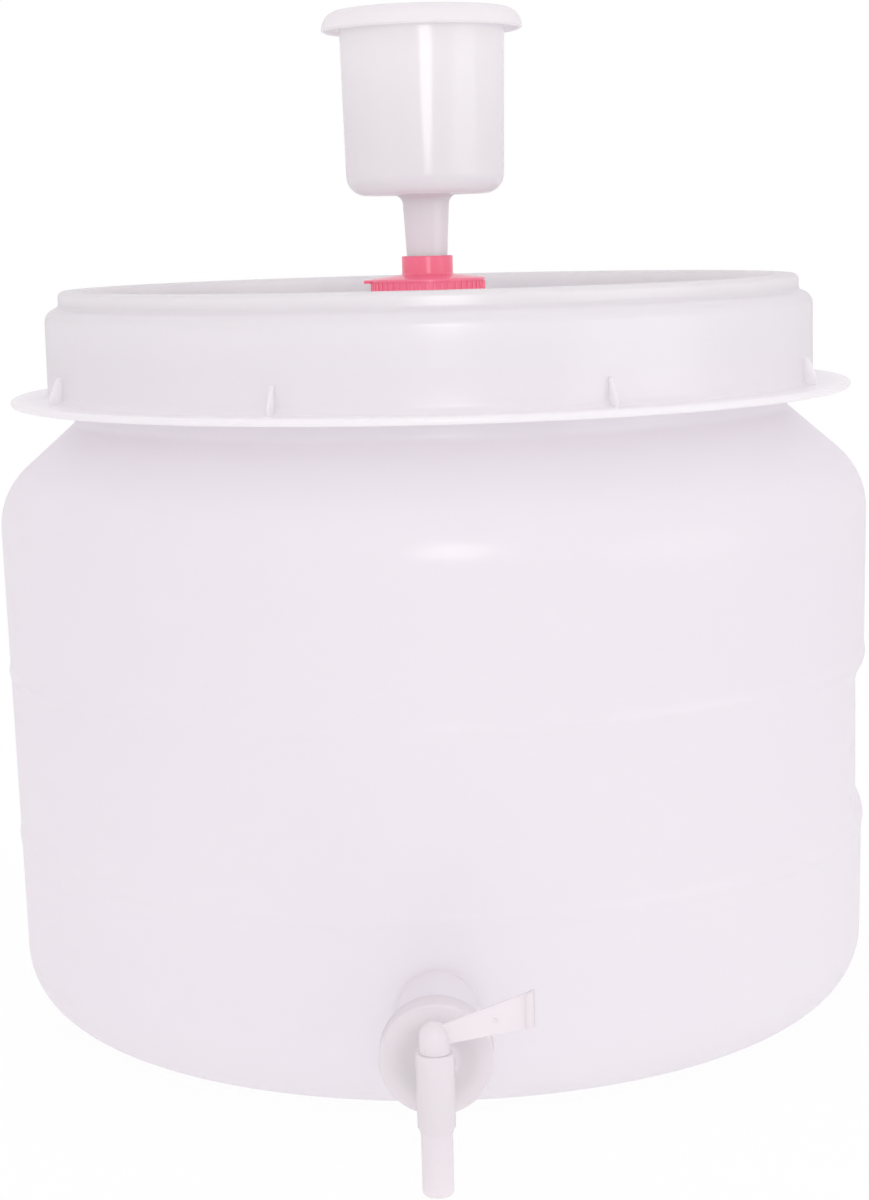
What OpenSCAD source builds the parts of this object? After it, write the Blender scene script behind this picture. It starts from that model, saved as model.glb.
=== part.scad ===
// Wide-mouth fermentation drum with screw lid, cup airlock and front tap.
// Origin at the centre of the flat base, +Z up, the tap points along -Y.

/* [Drum] */
// Outside radius of the neck
neck_r = 152; // [130:1:170]
// How far the body stands out from the neck
shoulder_out = 33; // [28:1:45]
// Height of the largest radius above the base
shoulder_z = 209; // [195:1:230]
// How much narrower the radius is just above the bottom corner
drum_taper = 2.6; // [0:0.1:5]
// Outside radius of the bottom corner
corner_r = 28; // [20:1:40]
// Outside radius of the round at the end of the shoulder
shoulder_round = 32; // [22:1:40]
// Slope of the shoulder above horizontal, degrees
shoulder_slope = 41; // [34:1:46]
// Hollow round between neck and shoulder
neck_fillet = 4; // [2:0.5:7]
// Height of plain neck that shows below the lid
neck_show = 5.9; // [4:0.1:12]
// Length of the neck inside the lid
neck_rise = 42.2; // [36:0.2:50]
// Wall thickness of the blown drum
drum_wall = 2.5; // [1.8:0.1:3.2]
// Height of the lower moulded belt
belt_low_z = 77.5; // [70:0.5:90]
// Height of the upper belt
belt_high_z = 148.5; // [140:0.5:165]
// How far a belt stands proud
belt_proud = 0.6; // [0.2:0.1:1.5]
// Width of a belt
belt_w = 5; // [3:0.5:8]
// Depth of the ring groove in the base
base_groove = 1.2; // [0.5:0.1:2]
// Distance of that groove from the edge of the flat base
base_inset = 30.4; // [10:0.2:50]

/* [Grips] */
// Angle of the right grip from the front, degrees
grip_angle = 81; // [70:1:100]
// Depth of the grip's flat panel
grip_depth = 3; // [2:0.1:4]
// Clear height between the grip and each belt
grip_gap = 0.4; // [0.2:0.1:6]
// Finger grooves in one grip
grip_grooves = 3; // [2:1:4]
// Radius of a finger groove
groove_r = 13; // [10:0.5:16]
// How much deeper than the panel a finger groove is
groove_extra = 1.4; // [0.6:0.1:2]

/* [Outlet] */
// Height of the tap's axis above the base
tap_z = 44; // [40:0.5:52]
// Outside radius of the moulded outlet
outlet_r = 14.8; // [13:0.1:18]
// Wall thickness of the outlet
outlet_wall = 2.5; // [1.8:0.1:3.2]
// Length of the outlet from the drum's largest radius
outlet_len = 47.5; // [44:0.5:52]
// Thickness of the washer between outlet and tap
washer_t = 2; // [1:0.1:3]
// Height of a thread ridge on outlet and neck of the lid
small_thread = 0.9; // [0.5:0.1:1.2]

/* [Lid] */
// How far the lid's flange stands out from its skirt
flange_out = 15.6; // [8:0.2:20]
// Thickness of the flange
flange_t = 3; // [2:0.1:4]
// Room between the neck's thread and the inside of the skirt
skirt_room = 5.5; // [4.6:0.1:8]
// Wall thickness of the lid
lid_wall = 2.2; // [1.6:0.1:2.6]
// Height of the raised rim's plain side above the lid's shoulder
rim_side = 6.9; // [5:0.1:9]
// Radius of the shoulder of the lid
lid_round = 6; // [4:0.5:8]
// Thickness of the top of the rim
rim_top = 2.4; // [1.8:0.1:3]
// Room between neck and rim on the outside
rim_room_out = 2.8; // [1.5:0.1:3.2]
// Room between neck and rim on the inside
rim_room_in = 0.8; // [0.5:0.1:2]
// Depth of the plate below the top of the rim
plate_drop = 11.4; // [9.5:0.1:14]
// Number of small gussets between skirt and flange
gusset_count = 8; // [4:1:12]
// Angle of the first gusset from the front, degrees
gusset_phase = 25; // [0:1:45]
// Height of a gusset
gusset_h = 11; // [6:0.5:16]
// Length of a gusset along the flange
gusset_len = 5.5; // [3:0.5:8]
// Thickness of a gusset
gusset_t = 1.8; // [1:0.1:3]
// Height of the coarse thread ridges of neck and lid
big_thread = 3.2; // [2:0.1:4]
// Pitch of the coarse thread ridges
thread_pitch = 12; // [10:0.5:14]
// Thickness of the lid's seal
lid_seal_t = 2.8; // [2:0.1:3.2]

/* [Screw cap] */
// Outside radius of the red screw cap
cap_r = 24.6; // [22.5:0.1:28]
// Height of the edge of the cap above the plate of the lid
cap_h = 12.7; // [10.5:0.1:15]
// Wall thickness of the cap
cap_wall = 1.5; // [1.2:0.1:2]
// How much the top of the cap rises towards its collar
cap_rise = 1.6; // [0.6:0.1:3]
// Thickness of the cap's top
cap_top = 1.8; // [1.4:0.1:2.6]
// Wall thickness of the collar
collar_wall = 1; // [0.8:0.1:2]
// Height of the collar above the edge of the cap
collar_h = 9.5; // [7:0.1:13]
// Number of grip ribs round the cap
cap_ribs = 48; // [24:4:60]
// How far a grip rib stands proud
cap_rib = 0.5; // [0.3:0.1:0.8]
// Length of the small pull tab on the edge of the cap
tab_len = 2.8; // [1.5:0.1:5]
// Width of the pull tab
tab_w = 4; // [2:0.5:7]
// Thickness of the rubber sleeve in the collar
sleeve_t = 1.25; // [0.8:0.05:2]
// Thickness of the seal in the cap
cap_seal_t = 1.6; // [1:0.1:2.2]

/* [Airlock] */
// Radius of the stem where the seal holds it
stem_r = 8.6; // [7.4:0.1:10]
// How much wider the stem is below the cup
stem_flare = 1.2; // [0.5:0.1:2.5]
// Height of stem that shows between collar and cup
stem_show = 25.7; // [18:0.1:40]
// Outside radius of the cup below its brim
cup_r = 34.8; // [30:0.2:40]
// How much narrower the cup is at its foot
cup_taper = 1.2; // [0:0.1:3]
// Outside radius of the foot's corner
cup_corner = 8.5; // [6:0.5:11]
// Height of the cup from its underside to the top of the brim
cup_h = 76.8; // [66:0.2:90]
// How far the drooping brim stands out
brim_out = 7.6; // [5:0.2:10]
// How far the brim droops
brim_drop = 8; // [5:0.2:10]
// Wall thickness of the cup and stem
cup_wall = 1.4; // [1.1:0.1:1.8]
// How much narrower the tube inside the cup is than the stem
tube_step = 0.6; // [0:0.1:1]
// Height of that tube above the floor of the cup
tube_h = 48; // [38:0.5:52]
// Free way between the tube and the bell
bell_way = 7.3; // [5:0.1:9]
// Free height between the tube and the top of the bell
bell_head = 7.6; // [6:0.1:12]
// Wall thickness of the bell
bell_wall = 1.2; // [1:0.1:1.6]
// Number of gas notches in the lower edge of the bell
bell_notches = 4; // [3:1:6]

/* [Tap] */
// Wall thickness of the threaded collar of the tap
tap_collar_wall = 4.1; // [3:0.1:6]
// Length over which the collar holds the outlet
tap_hold = 6; // [5:0.1:9]
// Front wall of the collar
tap_web = 3.5; // [2.5:0.1:4.5]
// Distance of the spout's axis from the front of the collar
spout_reach = 23; // [20:0.5:28]
// Radius of the way through branch and plug
port_r = 2.6; // [2.2:0.1:2.7]
// Wall thickness of the branch between collar and valve
branch_wall = 4; // [2.5:0.1:5]
// Wall thickness of the valve housing
valve_wall = 1.55; // [1.3:0.05:3]
// Height of the valve housing above the way through the plug
valve_over = 8.4; // [6:0.1:10]
// Length of the plug below the way through it
plug_under = 8.9; // [6:0.1:10]
// Wall thickness of the spout
spout_wall = 1.95; // [1.4:0.05:2.4]
// Height of the spout's tip above the base
spout_tip = 4.8; // [3:0.1:8]
// Radius of the water way in the spout
spout_bore_r = 3.5; // [3:0.1:4]
// Radius of the turning plug
plug_r = 4.9; // [4.7:0.05:5.8]
// How far the domed head of the plug stands out
head_out = 0.4; // [0.2:0.1:1.5]
// Length of the lever from the plug's axis
lever_len = 34.6; // [26:0.1:40]
// Height of the lever at its end
lever_end_h = 12.6; // [10:0.2:18]
// Height of the lever at the plug
lever_root_h = 6.6; // [5:0.2:8]
// Thickness of the lever
lever_t = 3; // [2:0.1:4]
// Rise of the lever, degrees
lever_rise = 19; // [5:1:25]
// Angle of the closed lever forward of straight right, degrees
lever_forward = 15; // [0:1:25]

/* [Fits] */
// Gap between threads and between parts that lift off
lift_gap = 0.4; // [0.3:0.05:0.6]
// Gap of a part that slides or turns in another
run_gap = 0.05; // [0.02:0.01:0.08]
// Gap between two parts that are held together
seat_gap = 0.05; // [0.02:0.01:0.1]

/* [Hidden] */
$fn = 96;
over = 1;
arc_steps = 10;

milk = [0.93, 0.9, 0.93];
red = [0.9, 0.25, 0.38];
rubber = [0.3, 0.3, 0.32];

drum_r = neck_r + shoulder_out;
drum_low_r = drum_r - drum_taper;
shoulder_turn = 90 - shoulder_slope;
shoulder_c = [drum_r - shoulder_round, shoulder_z];
// Centre of the hollow round between shoulder and neck
neck_c = [neck_r + neck_fillet,
          shoulder_z + (shoulder_round + neck_fillet
                        - (neck_r + neck_fillet - shoulder_c[0]) * cos(shoulder_turn)) / sin(shoulder_turn)];
flange_z = neck_c[1] + neck_show;
neck_top_z = flange_z + neck_rise;
bead_r = neck_r + big_thread;
bead_w = big_thread * 1.6;
grip_low = belt_low_z + belt_w / 2 + grip_gap;
grip_high = belt_high_z - belt_w / 2 - grip_gap;
grip_mid = (grip_low + grip_high) / 2;
grip_face = body_r(grip_mid) - grip_depth;
grip_pitch = (grip_high - grip_low) / grip_grooves;
groove_w = 6;
base_groove_r = drum_low_r - corner_r - base_inset - groove_w;

outlet_end = drum_r + outlet_len;
outlet_bore_r = outlet_r - outlet_wall;
thread_w = 1.8;
tap_front = outlet_end + washer_t + tap_web;
tap_back = outlet_end - tap_hold;
tap_thread_r = outlet_r + small_thread + lift_gap;
tap_collar_r = tap_thread_r + tap_collar_wall;
spout_y = tap_front + spout_reach;
spout_r = spout_bore_r + spout_wall;
branch_r = port_r + branch_wall;
valve_bore_r = plug_r + run_gap;
valve_r = valve_bore_r + valve_wall;
valve_top = tap_z + port_r + valve_over;
plug_foot = tap_z - port_r - plug_under;
valve_foot = plug_foot - 4.5;
plug_bore_r = plug_r - 2.2;
head_r = plug_r + head_out;
head_z = valve_top + run_gap + 0.15;
head_h = 5.4;
lever_lip = 2.4;
ring_r = 0.65;
ring_seat_r = plug_r - 2 * ring_r;
ring_off = port_r + 3.4;

lid_in_r = bead_r + skirt_room;
skirt_r = lid_in_r + lid_wall;
flange_r = skirt_r + flange_out;
flange_fillet = 3;
lid_bead_r = bead_r + lift_gap;
groove_out_r = neck_r + rim_room_out;
groove_in_r = neck_r - drum_wall - rim_room_in;
groove_top_z = neck_top_z + lid_seal_t;
rim_r = groove_out_r + lid_wall;
rim_in_r = groove_in_r - lid_wall;
rim_top_z = groove_top_z + rim_top;
rim_round = 2.4;
shoulder_top_z = rim_top_z - rim_side;
plate_z = rim_top_z - plate_drop;

cap_edge_z = plate_z + cap_h;
cap_in_r = cap_r - cap_rib - cap_wall;
cap_under_z = cap_edge_z - cap_top;
cap_foot_z = plate_z + 2;
lid_neck_top = cap_under_z - cap_seal_t;
lid_neck_r = cap_in_r - 2 * small_thread - lift_gap;
lid_neck_bore = lid_neck_r - lid_wall;
collar_bore_r = stem_r + run_gap + sleeve_t;
collar_r = collar_bore_r + collar_wall;
collar_top_z = cap_edge_z + collar_h;
sleeve_top_z = collar_top_z - 1;
sleeve_flange = 2.2;
rib_w = 1;

stem_top_r = stem_r + stem_flare;
stem_end_z = cap_under_z - 9;
stem_fillet = 4;
cup_z = collar_top_z + stem_show;
cup_floor_z = cup_z + cup_wall;
cup_top_z = cup_z + cup_h;
cup_foot_r = cup_r - cup_taper;
brim_in_r = cup_r + 0.6;
brim_r = cup_r + brim_out;
lip_round = 1.6;
tube_r = stem_r - tube_step;
tube_bore_r = tube_r - cup_wall;
bell_r = tube_r + bell_way + bell_wall;
bell_foot_z = cup_floor_z + 0.2;
bell_h = tube_h + bell_head + bell_wall;
bell_round = 5;
notch_w = 8;
notch_h = 3.2;

// Points of an arc about c, from angle a0 to a1
function arc(c, r, a0, a1, n = arc_steps) =
    [for (i = [0:n]) let (a = a0 + (a1 - a0) * i / n) [c[0] + r * cos(a), c[1] + r * sin(a)]];

// Points of a quarter of an ellipse about c
function bow(c, rx, ry, a0, a1, n = arc_steps) =
    [for (i = [0:n]) let (a = a0 + (a1 - a0) * i / n) [c[0] + rx * cos(a), c[1] + ry * sin(a)]];

// Outside radius of the drum's tapered wall at height z
function body_r(z) = drum_low_r + drum_taper * (z - corner_r) / (shoulder_z - corner_r);

// Outline of a belt round the wall at height z
function belt(z) = [[body_r(z - belt_w / 2), z - belt_w / 2],
                    [body_r(z) + belt_proud, z - belt_w / 6],
                    [body_r(z) + belt_proud, z + belt_w / 6],
                    [body_r(z + belt_w / 2), z + belt_w / 2]];

// Half section of the drum, moved inwards by the distance in, up to height top
function drum_outline(in, top, belts) = concat(
    [[0, in]],
    arc([drum_low_r - corner_r, corner_r], corner_r - in, -90, 0),
    belts ? belt(belt_low_z) : [],
    belts ? belt(belt_high_z) : [],
    arc(shoulder_c, shoulder_round - in, 0, shoulder_turn),
    arc(neck_c, neck_fillet + in, 180 + shoulder_turn, 180, 4),
    [[neck_r - in, top], [0, top]]);

// Places its children along the tap's axis, with local z as the distance from the drum's axis
module on_tap_axis() translate([0, 0, tap_z]) rotate([90, 0, 0]) children();

// Ring of rectangular section
module ring(r_in, r_out, z0, z1) rotate_extrude() translate([r_in, z0]) square([r_out - r_in, z1 - z0]);

// Thread ridge of trapezoid section: root and crest radius, height of its middle and its width
module ridge(r_root, r_crest, z, w) rotate_extrude()
    polygon([[r_root, z - w / 2], [r_crest, z - w / 5], [r_crest, z + w / 5], [r_root, z + w / 2]]);

// Hollow of one grip, grown by the distance out
module grip_cut(out) {
    translate([-drum_r / 2, -drum_r - over, grip_low - out])
        cube([drum_r, drum_r + over - grip_face + out, grip_high - grip_low + 2 * out]);
    for (i = [0 : grip_grooves - 1])
        translate([0, groove_extra - grip_face - groove_r, grip_low + (i + 0.5) * grip_pitch])
            rotate([0, 90, 0]) cylinder(r = groove_r + out, h = drum_r, center = true);
}

// Both grips, on opposite sides
module grips(out) for (turn = [0, 180]) rotate([0, 0, grip_angle + turn]) grip_cut(out);

module drum() color(milk) {
    difference() {
        union() {
            difference() {
                rotate_extrude() polygon(drum_outline(0, neck_top_z, true));
                grips(0);
            }
            for (i = [0, 1])
                ridge(neck_r - over, bead_r, flange_z + (i + 0.75) * thread_pitch, bead_w);
            on_tap_axis() {
                cylinder(r = outlet_r, h = outlet_end);
                for (i = [0, 1])
                    ridge(outlet_r - over, outlet_r + small_thread, outlet_end - thread_w * (1 + 1.4 * i), thread_w);
            }
        }
        difference() {
            rotate_extrude() polygon(drum_outline(drum_wall, neck_top_z + over, false));
            grips(drum_wall);
        }
        on_tap_axis() translate([0, 0, drum_r / 2]) cylinder(r = outlet_bore_r, h = outlet_end);
        ring(base_groove_r, base_groove_r + groove_w, -over, base_groove);
    }
}

// Section of the tap's threaded collar with softened edges
module tap_collar_section() difference() {
    polygon([[0, tap_back], [tap_collar_r - 0.8, tap_back], [tap_collar_r, tap_back + 0.8],
             [tap_collar_r, tap_front - 1.2], [tap_collar_r - 1.2, tap_front], [0, tap_front]]);
    square([tap_thread_r, tap_front - tap_web]);
}

module tap_body() color(milk) difference() {
    union() {
        on_tap_axis() {
            rotate_extrude() tap_collar_section();
            translate([0, 0, tap_front - over]) cylinder(r = branch_r, h = spout_reach + over);
            translate([0, 0, tap_front]) cylinder(r1 = branch_r + 2, r2 = branch_r, h = 2);
        }
        translate([0, -spout_y, 0]) {
            translate([0, 0, valve_foot]) cylinder(r = valve_r, h = valve_top - valve_foot);
            translate([0, 0, valve_foot - 2]) cylinder(r1 = spout_r, r2 = valve_r, h = 2);
            translate([0, 0, spout_tip + 1.5]) cylinder(r = spout_r, h = valve_foot - spout_tip);
            translate([0, 0, spout_tip]) cylinder(r1 = spout_r - 1.1, r2 = spout_r, h = 1.5);
        }
    }
    on_tap_axis() translate([0, 0, tap_front - tap_web - over])
        cylinder(r = port_r, h = spout_reach + tap_web + over);
    translate([0, -spout_y, 0]) {
        translate([0, 0, plug_foot - run_gap]) cylinder(r = valve_bore_r, h = valve_top);
        translate([0, 0, spout_tip - over]) cylinder(r = spout_bore_r, h = plug_foot);
    }
}

module tap_washer() color(rubber) on_tap_axis()
    ring(outlet_bore_r - 3, outlet_r - 0.2, outlet_end, outlet_end + washer_t);

// Outline of the fan-shaped lever in the upright plane through its length
module lever_outline() {
    mid = head_z + head_h;
    tip = mid + lever_len * tan(lever_rise);
    polygon([[0, mid - lever_root_h / 2], [lever_len, tip - lever_end_h / 2],
             [lever_len, tip + lever_end_h / 2], [0, mid + lever_root_h / 2]]);
}

module tap_plug() color(milk) translate([0, -spout_y, 0]) rotate([0, 0, -lever_forward]) difference() {
    union() {
        translate([0, 0, plug_foot]) cylinder(r = plug_r, h = head_z - plug_foot);
        translate([0, 0, head_z]) cylinder(r = head_r, h = head_h);
        translate([0, 0, head_z + head_h]) intersection() {
            sphere(r = head_r);
            cylinder(r = head_r + over, h = head_r + over);
        }
        rotate([90, 0, 0]) linear_extrude(height = lever_t, center = true) lever_outline();
        rotate([90, 0, 0]) linear_extrude(height = lever_t * 1.5, center = true) intersection() {
            lever_outline();
            translate([lever_len - lever_lip, 0]) square([lever_lip + over, rim_top_z]);
        }
    }
    translate([0, 0, plug_foot - over]) cylinder(r = plug_bore_r, h = tap_z + port_r - plug_foot + over);
    translate([0, 0, tap_z]) rotate([0, -90, 0]) cylinder(r = port_r, h = plug_r + over);
    for (z = [tap_z - ring_off, tap_z + ring_off])
        ring(ring_seat_r, plug_r + over, z - ring_r, z + ring_r);
}

module plug_o_rings() color(rubber) translate([0, -spout_y, 0])
    for (z = [tap_z - ring_off, tap_z + ring_off]) translate([0, 0, z])
        rotate_extrude() translate([ring_seat_r + ring_r, 0]) circle(r = ring_r, $fn = 24);

// Half section of the lid: outer skin down to the flange, then back up inside
module lid_section() polygon(concat(
    [[lid_neck_bore, plate_z], [rim_in_r, plate_z]],
    arc([rim_in_r + 1.5, rim_top_z - 1.5], 1.5, 180, 90, 3),
    arc([rim_r - rim_round, rim_top_z - rim_round], rim_round, 90, 0, 5),
    [[rim_r, shoulder_top_z]],
    arc([skirt_r - lid_round, shoulder_top_z - lid_round], lid_round, 80, 0, 6),
    arc([skirt_r + flange_fillet, flange_z + flange_t + flange_fillet], flange_fillet, 180, 270, 5),
    arc([flange_r - flange_t / 2, flange_z + flange_t / 2], flange_t / 2, 90, -90, 6),
    [[lid_in_r, flange_z]],
    arc([lid_in_r - lid_round, shoulder_top_z - lid_round - lid_wall], lid_round, 0, 90, 6),
    [[groove_out_r, shoulder_top_z - lid_wall], [groove_out_r, groove_top_z],
     [groove_in_r, groove_top_z], [groove_in_r, plate_z - lid_wall], [lid_neck_bore, plate_z - lid_wall]]));

// One gusset between skirt and flange, at the front
module gusset() translate([-gusset_t / 2, -skirt_r, flange_z + flange_t]) rotate([90, 0, 90])
    linear_extrude(height = gusset_t)
        polygon([[over, -over], [-gusset_len, -over], [-gusset_len, gusset_h * 0.25],
                 [-gusset_len * 0.35, gusset_h], [over, gusset_h]]);

module lid() color(milk) {
    rotate_extrude() lid_section();
    for (i = [0 : gusset_count - 1]) rotate([0, 0, gusset_phase + i * 360 / gusset_count]) gusset();
    ring(lid_neck_bore, lid_neck_r, plate_z - lid_wall / 2, lid_neck_top);
    ridge(lid_neck_r - over, lid_neck_r + small_thread, lid_neck_top - thread_w * 1.4, thread_w);
    for (i = [0, 1])
        ridge(lid_in_r + over, lid_bead_r, flange_z + (i + 1.25) * thread_pitch, bead_w);
}

module lid_seal() color(rubber)
    ring(groove_in_r + seat_gap, groove_out_r - seat_gap, neck_top_z, groove_top_z);

module screw_cap() color(red) {
    side_r = cap_r - cap_rib;
    rotate_extrude() polygon([
        [collar_bore_r, cap_under_z], [cap_in_r, cap_under_z], [cap_in_r, cap_foot_z], [side_r, cap_foot_z],
        [side_r, cap_edge_z - 0.8], [cap_r, cap_edge_z - 0.8], [cap_r, cap_edge_z - 0.3],
        [cap_r - 0.5, cap_edge_z], [collar_r - 0.3, cap_edge_z + cap_rise],
        [collar_r, collar_top_z - 0.3], [collar_r - 0.3, collar_top_z], [collar_bore_r, collar_top_z]]);
    for (i = [0 : cap_ribs - 1]) rotate([0, 0, i * 360 / cap_ribs])
        translate([side_r - cap_rib, -rib_w / 2, cap_foot_z + 0.6])
            cube([2 * cap_rib - 0.05, rib_w, cap_edge_z - 1.2 - cap_foot_z]);
    translate([-cap_r - tab_len, -tab_w / 2, cap_edge_z - cap_top]) cube([tab_len + cap_wall, tab_w, 1.4]);
    ridge(cap_in_r + over / 2, cap_in_r - small_thread, cap_foot_z + thread_w * 1.4, thread_w);
}

module cap_seal() color(rubber)
    ring(lid_neck_bore - 1.5, cap_in_r - seat_gap, lid_neck_top, cap_under_z);

module stem_seal() color(rubber) {
    ring(stem_r + run_gap, collar_bore_r - seat_gap, cap_under_z, sleeve_top_z);
    ring(stem_r + run_gap, collar_bore_r + sleeve_flange, cap_under_z - sleeve_flange, cap_under_z);
}

// Half section of the airlock cup with its stem and inner tube, one moulding
module cup_section() polygon(concat(
    [[tube_bore_r, stem_end_z], [stem_r - 0.8, stem_end_z], [stem_r, stem_end_z + 1.5],
     [stem_r, sleeve_top_z]],
    arc([stem_top_r + stem_fillet, cup_z - stem_fillet], stem_fillet, 180, 90, 5),
    arc([cup_foot_r - cup_corner, cup_z + cup_corner], cup_corner, -90, 0, 8),
    [[cup_r, cup_top_z - brim_drop], [cup_r, cup_top_z - cup_wall - 1]],
    bow([brim_in_r, cup_top_z - brim_drop], brim_r - brim_in_r - cup_wall, brim_drop - cup_wall, 90, 0, 8),
    bow([brim_in_r, cup_top_z - brim_drop], brim_r - brim_in_r, brim_drop, 0, 90, 8),
    arc([cup_r - cup_wall + lip_round, cup_top_z - lip_round], lip_round, 90, 180, 4),
    arc([cup_foot_r - cup_corner, cup_z + cup_corner], cup_corner - cup_wall, 0, -90, 8),
    [[tube_r, cup_floor_z], [tube_r, cup_floor_z + tube_h - 0.6], [tube_r - 0.6, cup_floor_z + tube_h],
     [tube_bore_r, cup_floor_z + tube_h]]));

module airlock_cup() color(milk) rotate_extrude() cup_section();

module airlock_bell() color(milk) difference() {
    dome_c = [bell_r - bell_round, bell_foot_z + bell_h - bell_round];
    rotate_extrude() polygon(concat(
        [[bell_r - bell_wall, bell_foot_z], [bell_r, bell_foot_z]],
        arc(dome_c, bell_round, 0, 90, 6),
        [[0, bell_foot_z + bell_h], [0, bell_foot_z + bell_h - bell_wall]],
        arc(dome_c, bell_round - bell_wall, 90, 0, 6)));
    for (i = [0 : bell_notches - 1]) rotate([0, 0, 45 + i * 360 / bell_notches])
        translate([0, -notch_w / 2, bell_foot_z - over]) cube([bell_r + over, notch_w, notch_h + over]);
}

drum();
tap_body();
tap_washer();
tap_plug();
plug_o_rings();
lid();
lid_seal();
screw_cap();
cap_seal();
stem_seal();
airlock_cup();
airlock_bell();
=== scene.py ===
"""Looks of a wide-mouth fermentation drum with its screw lid, cup airlock and lever tap.

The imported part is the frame. Each moulding is turned or extruded from its own outline, so that its
rounds, threads, gussets and hand grips are true shapes, and it stands for the solid of the same name.
All sizes are in metres, +Z is up and the tap points along -Y.
"""

import logging
import math
from dataclasses import dataclass, field
from enum import Enum
from typing import Iterable, Sequence

import bmesh
import bpy
from mathutils import Matrix, Vector


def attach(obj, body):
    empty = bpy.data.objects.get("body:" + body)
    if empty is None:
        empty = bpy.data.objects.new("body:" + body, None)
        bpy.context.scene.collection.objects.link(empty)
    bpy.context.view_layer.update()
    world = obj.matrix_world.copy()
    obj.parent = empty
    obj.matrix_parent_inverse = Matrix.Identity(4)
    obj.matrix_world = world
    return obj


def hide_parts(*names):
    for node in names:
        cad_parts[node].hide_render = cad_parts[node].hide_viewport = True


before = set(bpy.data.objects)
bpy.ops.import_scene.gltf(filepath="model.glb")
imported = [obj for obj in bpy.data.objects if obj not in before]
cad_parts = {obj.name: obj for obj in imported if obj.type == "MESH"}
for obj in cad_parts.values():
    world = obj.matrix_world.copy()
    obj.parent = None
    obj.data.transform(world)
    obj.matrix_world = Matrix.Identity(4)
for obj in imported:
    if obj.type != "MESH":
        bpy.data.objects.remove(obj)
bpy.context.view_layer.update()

LOG = logging.getLogger("drum")
Point = tuple[float, float]
UPRIGHT = Matrix.Identity(4)
WELD = 0.000001
PHOTO_WIDTH = 869
PHOTO_HEIGHT = 1200


class Slot(Enum):
    """Material slots that the record names."""

    DRUM = "drum_plastic"
    LID = "lid_plastic"
    AIRLOCK = "airlock_plastic"
    TAP = "tap_plastic"
    CAP = "cap_red"
    SEAL = "seal_rubber"


def arc(centre: Point, radius: float, start: float, end: float, steps: int = 12,
        height: float | None = None) -> list[Point]:
    """Gives the points of an arc, or of a bow where a height is given.

    Args:
        centre: Radius and height of the arc's centre.
        radius: The arc's radius, or the bow's half width.
        start: First angle in degrees, from straight out.
        end: Last angle in degrees.
        steps: Number of stretches.
        height: Half height of a bow.

    Returns:
        The points from the first angle to the last.
    """
    rise = radius if height is None else height
    turns = [math.radians(start + (end - start) * i / steps) for i in range(steps + 1)]
    return [(centre[0] + radius * math.cos(t), centre[1] + rise * math.sin(t)) for t in turns]


def spread(first: float, last: float, pitch: float) -> list[float]:
    """Gives evenly spaced values.

    Args:
        first: The first value.
        last: The last value.
        pitch: The widest step between two values.

    Returns:
        The values, with both ends.
    """
    count = max(1, math.ceil(abs(last - first) / pitch))
    return [first + (last - first) * i / count for i in range(count + 1)]


def soft_low(a: float, b: float, blend: float) -> float:
    """Gives the lower of two values, rounded where they meet.

    Args:
        a: One value.
        b: The other value.
        blend: Width of the rounding.

    Returns:
        The lower value, or a little less near the meeting point.
    """
    share = min(1.0, max(0.0, 0.5 + 0.5 * (b - a) / blend))
    return b + (a - b) * share - blend * share * (1 - share)


def ease(t: float) -> float:
    """Gives a smooth step from 0 to 1."""
    t = min(1.0, max(0.0, t))
    return t * t * (3 - 2 * t)


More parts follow.
